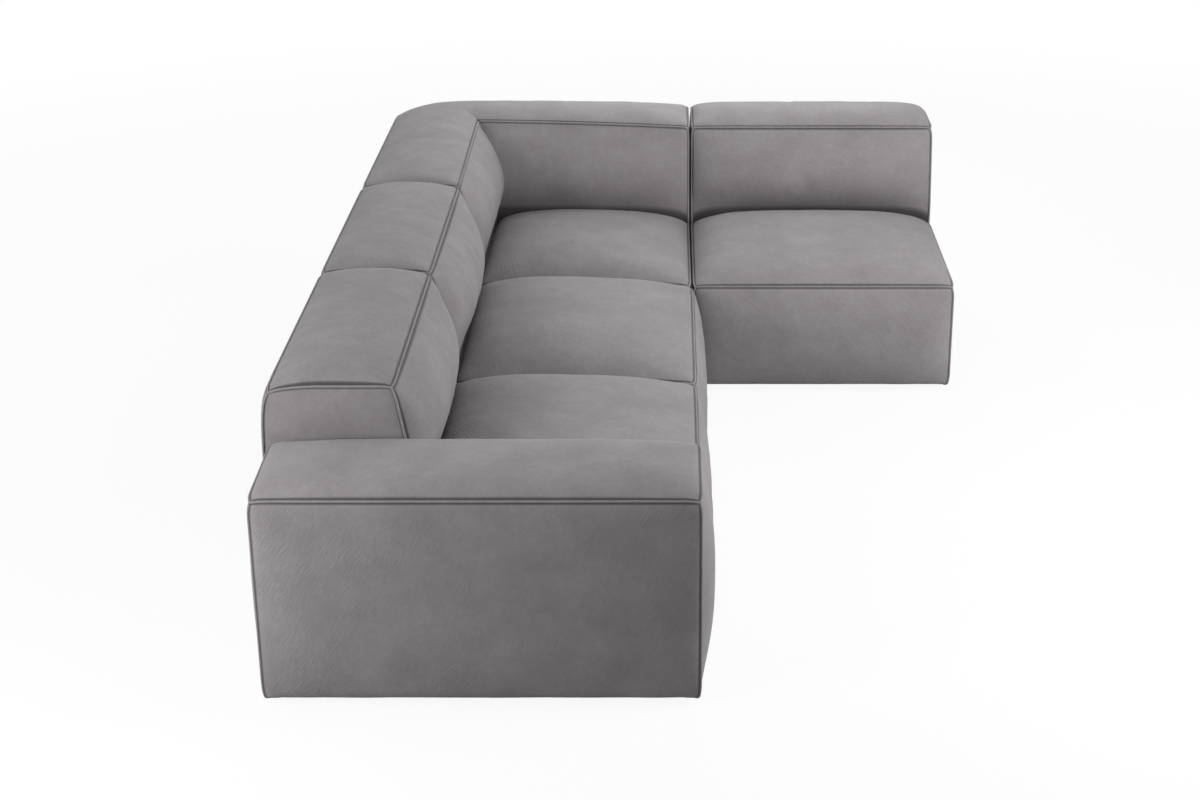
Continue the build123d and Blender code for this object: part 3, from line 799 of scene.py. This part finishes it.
class Shell:
    """The six panels of a block on one grid, with what the leather needs to know at each point."""

    def __init__(self, block):
        self.block = block
        self.lines = [spread(length) for length in block.lengths]
        if block.turned:
            self.lines[axis_a] += [2 - a for a in reversed(self.lines[axis_a][:-1])]
        self.lasts = [len(line) - 1 for line in self.lines]
        self.index = {}
        self.points = []
        # seams and depths hold the values that set the painted shade in the leather's colour
        self.seams = []
        self.depths = []
        self.held = []
        self.faces = []
        self.layout = []
        last_a, last_b, last_c = self.lasts
        self.panel(axis_a, axis_b, lambda s, t: (s, t, last_c))
        self.panel(axis_b, axis_a, lambda s, t: (t, s, 0))
        self.panel(axis_a, axis_c, lambda s, t: (s, 0, t))
        self.panel(axis_c, axis_a, lambda s, t: (t, last_b, s))
        self.panel(axis_c, axis_b, lambda s, t: (0, t, s))
        self.panel(axis_b, axis_c, lambda s, t: (last_a, s, t))

    def panel(self, axis_s, axis_t, corner):
        """Adds the faces of one panel, with their flat layout in metres."""
        flat_s = [share * self.block.lengths[axis_s] for share in self.lines[axis_s]]
        flat_t = [share * self.block.lengths[axis_t] for share in self.lines[axis_t]]
        for s in range(self.lasts[axis_s]):
            for t in range(self.lasts[axis_t]):
                ring = [(s, t), (s + 1, t), (s + 1, t + 1), (s, t + 1)]
                self.faces.append([self.vertex(*corner(p, q)) for p, q in ring])
                self.layout.append([(flat_s[p], flat_t[q]) for p, q in ring])

    def vertex(self, *key):
        if key not in self.index:
            self.index[key] = len(self.points)
            self.add_point(*(line[k] for line, k in zip(self.lines, key)))
        return self.index[key]

    def add_point(self, a, b, c):
        block = self.block
        length_a, length_b, length_c = block.lengths
        point = block.point(a, b, c)
        near_a = min(a, self.lines[axis_a][-1] - a)
        gaps = (near_a * length_a, min(b, 1 - b) * length_b, (1 - c) * length_c)
        # The seam value, the distance to the nearest seam, sets the painted shade in the creases
        shade = sorted(gaps)[1]
        at_seam = shade == 0
        loose = c == 1 or (b == 0 and block.open_front)
        if block.contact:
            above = point.z - block.contact(near_a)
            if c < 1:
                loose = loose and above > contact_margin
            # On a back's front the seam value falls towards the seat line, which paints shade just
            # above the seat
            if b == 0:
                shade = min(shade, contact_softness * max(0.0, above))
        if at_seam or not loose:
            self.held.append(len(self.points))
        self.points.append(point)
        self.seams.append(shade)
        self.depths.append(block.hollow(near_a, b, point.z))

    def rims(self):
        """The runs of points along the seams: round the top, then down the four corners."""
        last_a, last_b, last_c = self.lasts
        runs = [[(i, j, last_c) for i in range(last_a + 1)] for j in (0, last_b)]
        runs += [[(i, j, last_c) for j in range(last_b + 1)] for i in (0, last_a)]
        for i in (0, last_a):
            runs += [[(i, j, k) for k in range(last_c + 1)] for j in (0, last_b)]
        return [[self.index[key] for key in run] for run in runs]


def set_values(mesh, name, values):
    layer = mesh.attributes.new(name, "FLOAT", "POINT")
    layer.data.foreach_set("value", values)


def linked(name, data):
    made = bpy.data.objects.new(name, data)
    bpy.context.collection.objects.link(made)
    return made


def shaped_block(block):
    """The leather of a block, and the runs of its points that the piping follows."""
    shell = Shell(block)
    mesh = bpy.data.meshes.new(block.name)
    mesh.from_pydata(shell.points, [], shell.faces)
    mesh.shade_smooth()
    layer = mesh.uv_layers.new(name="panels")
    corners = [corner for ring in shell.layout for corner in ring]
    for loop, corner in zip(layer.data, corners):
        loop.uv = corner
    # The seam and depth values set the painted shade in the leather material
    set_values(mesh, "seam", shell.seams)
    set_values(mesh, "depth", shell.depths)
    set_values(mesh, "nap", [block.nap] * len(shell.points))
    mesh.materials.append(leather)
    made = linked(block.name, mesh)
    made.vertex_groups.new(name="held").add(shell.held, 1.0, "REPLACE")
    return made, shell.rims()


def tube(name, runs):
    """Piping: a closed tube along each run."""
    points = []
    faces = []
    for run in runs:
        start = len(points)
        for k, centre in enumerate(run):
            heading = run[min(k + 1, len(run) - 1)] - run[max(k - 1, 0)]
            heading.normalize()
            side = heading.orthogonal() if k == 0 else side - heading * side.dot(heading)
            side.normalize()
            up = heading.cross(side)
            for n in range(piping_sides):
                turn = 2 * math.pi * n / piping_sides
                offset = side * math.cos(turn) + up * math.sin(turn)
                points.append(centre + offset * piping_radius)
        for k in range(len(run) - 1):
            row = start + k * piping_sides
            following = row + piping_sides
            for n in range(piping_sides):
                m = (n + 1) % piping_sides
                faces.append([row + n, row + m, following + m, following + n])
        last = start + (len(run) - 1) * piping_sides
        faces.append([start + n for n in reversed(range(piping_sides))])
        faces.append([last + n for n in range(piping_sides)])
    mesh = bpy.data.meshes.new(name)
    mesh.from_pydata(points, [], faces)
    mesh.shade_smooth()
    layer = mesh.uv_layers.new(name="panels")
    for loop, data in zip(mesh.loops, layer.data):
        spot = mesh.vertices[loop.vertex_index].co
        data.uv = (spot.x + spot.z, spot.y)
    set_values(mesh, "seam", [1.0] * len(points))
    set_values(mesh, "depth", [1.0] * len(points))
    mesh.materials.append(piping_leather)
    return linked(name, mesh)


def settle(pads):
    """Lets the leather settle over its filling, held at its seams and where blocks touch."""
    for pad in pads:
        cloth = pad.modifiers.new("settling", "CLOTH")
        cloth.settings.vertex_group_mass = "held"
        cloth.settings.use_pressure = True
        cloth.settings.uniform_pressure_force = settle_pressure
        cloth.settings.shrink_min = -settle_spare
        cloth.settings.effector_weights.gravity = 0.0
        cloth.collision_settings.use_collision = False
        cloth.point_cache.frame_end = settle_frames
    for step in range(1, settle_frames + 1):
        bpy.context.scene.frame_set(step)
    depsgraph = bpy.context.evaluated_depsgraph_get()
    for pad in pads:
        after = [vertex.co.copy() for vertex in pad.evaluated_get(depsgraph).data.vertices]
        moves = [spot - vertex.co for spot, vertex in zip(after, pad.data.vertices)]
        largest = max(move.length for move in moves)
        pad.modifiers.clear()
        for vertex, move in zip(pad.data.vertices, moves):
            vertex.co += move * min(1.0, settle_cap / largest)
    bpy.context.scene.frame_set(1)


pads = [shaped_block(block) for block in blocks]
settle([pad for pad, paths in pads])
for block, (pad, paths) in zip(blocks, pads):
    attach(pad, block.body)
    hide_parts(*block.nodes)
    runs = [[pad.data.vertices[v].co.copy() for v in path] for path in paths]
    piping = tube(block.name.replace("_pad", "_piping"), runs)
    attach(piping, block.body)


# Stage: a floor and a world that look white and give little light of their own
floor_size = 40.0
floor_dark = (0.93, 0.93, 0.93)
floor_light = (0.95, 0.95, 0.95)
floor_scale = 0.6
bounce_colour = (0.45, 0.45, 0.45, 1)
glow_colour = (*white, 1)
near_white = 0.92
far_white = 1.0
near_reach = 2.5
far_reach = 6.0
ambient_strength = 0.01


def background_rays(tree):
    """1 for the rays that show the background: straight to the camera, mirrored or through glass."""
    rays = add(tree, "ShaderNodeLightPath").outputs
    total = rays["Is Camera Ray"]
    for kind in ("Is Glossy Ray", "Is Transmission Ray"):
        both = add(tree, "ShaderNodeMath", operation="ADD", use_clamp=True)
        tree.links.new(total, both.inputs[0])
        tree.links.new(rays[kind], both.inputs[1])
        total = both.outputs["Value"]
    return total


def mixed(tree, share, first, second):
    mix = add(tree, "ShaderNodeMixShader")
    tree.links.new(share, mix.inputs["Fac"])
    tree.links.new(first, mix.inputs[1])
    tree.links.new(second, mix.inputs[2])
    return mix.outputs["Shader"]


def floor_material():
    """White with a faint shadow near the part where the background shows, and grey to other rays."""
    made, tree, shader = material("floor paint")
    tree.nodes.remove(shader)
    where = add(tree, "ShaderNodeTexCoord").outputs["Object"]
    pale = noise_ramp(tree, where, floor_scale, floor_dark, floor_light)
    seen = add(tree, "ShaderNodeBsdfDiffuse")
    tree.links.new(pale, seen.inputs["Color"])
    glow = add(tree, "ShaderNodeEmission", Color=glow_colour, Strength=1.0)
    bounce = add(tree, "ShaderNodeBsdfDiffuse", Color=bounce_colour)
    distance = add(tree, "ShaderNodeVectorMath", operation="LENGTH")
    tree.links.new(where, distance.inputs[0])
    limits = {"From Min": near_reach, "From Max": far_reach, "To Min": near_white, "To Max": far_white}
    whiteness = add(tree, "ShaderNodeMapRange", **limits)
    tree.links.new(distance.outputs["Value"], whiteness.inputs["Value"])
    shown = mixed(tree, whiteness.outputs["Result"], seen.outputs["BSDF"], glow.outputs["Emission"])
    surface = mixed(tree, background_rays(tree), bounce.outputs["BSDF"], shown)
    tree.links.new(surface, tree.nodes["Material Output"].inputs["Surface"])
    return made


def white_world():
    world = bpy.data.worlds.new("studio")
    world.use_nodes = True
    tree = world.node_tree
    tree.nodes.clear()
    output = add(tree, "ShaderNodeOutputWorld")
    ambient = add(tree, "ShaderNodeBackground", Color=glow_colour, Strength=ambient_strength)
    backdrop = add(tree, "ShaderNodeBackground", Color=glow_colour, Strength=1.0)
    rays = background_rays(tree)
    surface = mixed(tree, rays, ambient.outputs["Background"], backdrop.outputs["Background"])
    tree.links.new(surface, output.inputs["Surface"])
    return world


half = floor_size / 2
floor_corners = [(-half, -half, 0), (half, -half, 0), (half, half, 0), (-half, half, 0)]
floor_mesh = bpy.data.meshes.new("floor")
floor_mesh.from_pydata(floor_corners, [], [(0, 1, 2, 3)])
floor_mesh.materials.append(floor_material())
floor = linked("floor", floor_mesh)
bpy.context.scene.world = white_world()


# Lamps: places and targets in metres, energies in watts
def area_light(name, place, target, size, energy):
    lamp = bpy.data.lights.new(name, "AREA")
    lamp.shape = "RECTANGLE"
    lamp.size, lamp.size_y = size
    lamp.energy = energy
    made = linked(name, lamp)
    made.location = place
    made.rotation_euler = (Vector(target) - Vector(place)).to_track_quat("-Z", "Y").to_euler()


right_seats = (0.5, 0.5, 0.3)
area_light("right window", (3.0, -1.5, 1.8), right_seats, size=(1.5, 1.5), energy=24)
area_light("right near", (2.0, -1.5, 1.2), right_seats, size=(1.0, 1.0), energy=18)
area_light("right high", (3.2, -0.6, 3.4), (0.0, 0.3, 0.4), size=(2.0, 2.0), energy=90)
area_light("left fill", (-2.5, -3.0, 1.4), (-0.7, -1.4, 0.4), size=(1.2, 1.2), energy=14)
area_light("left near", (-2.0, -2.4, 1.2), (-0.8, -1.5, 0.4), size=(1.0, 1.0), energy=24.5)
area_light("left high", (-3.8, 0.5, 2.8), (-0.3, 0.2, 0.4), size=(2.0, 2.0), energy=54)
area_light("rear near", (0.3, 2.3, 2.2), (0.0, 1.2, 0.5), size=(1.2, 1.2), energy=17)
area_light("rear low", (0.2, 3.6, 1.9), (0.0, 1.2, 0.6), size=(2.0, 1.0), energy=29)

# Camera
camera_place = (0.0284, -5.8505, 2.563)
camera_dip = 0.3891
camera = bpy.data.cameras.new("camera")
camera.sensor_width = 36.0
camera.lens = 61.91
camera.shift_x = -0.0566
eye = linked("camera", camera)
eye.location = camera_place
eye.rotation_euler = (math.pi / 2 - camera_dip, 0, 0)
bpy.context.scene.camera = eye
bpy.context.scene.view_settings.view_transform = "Standard"
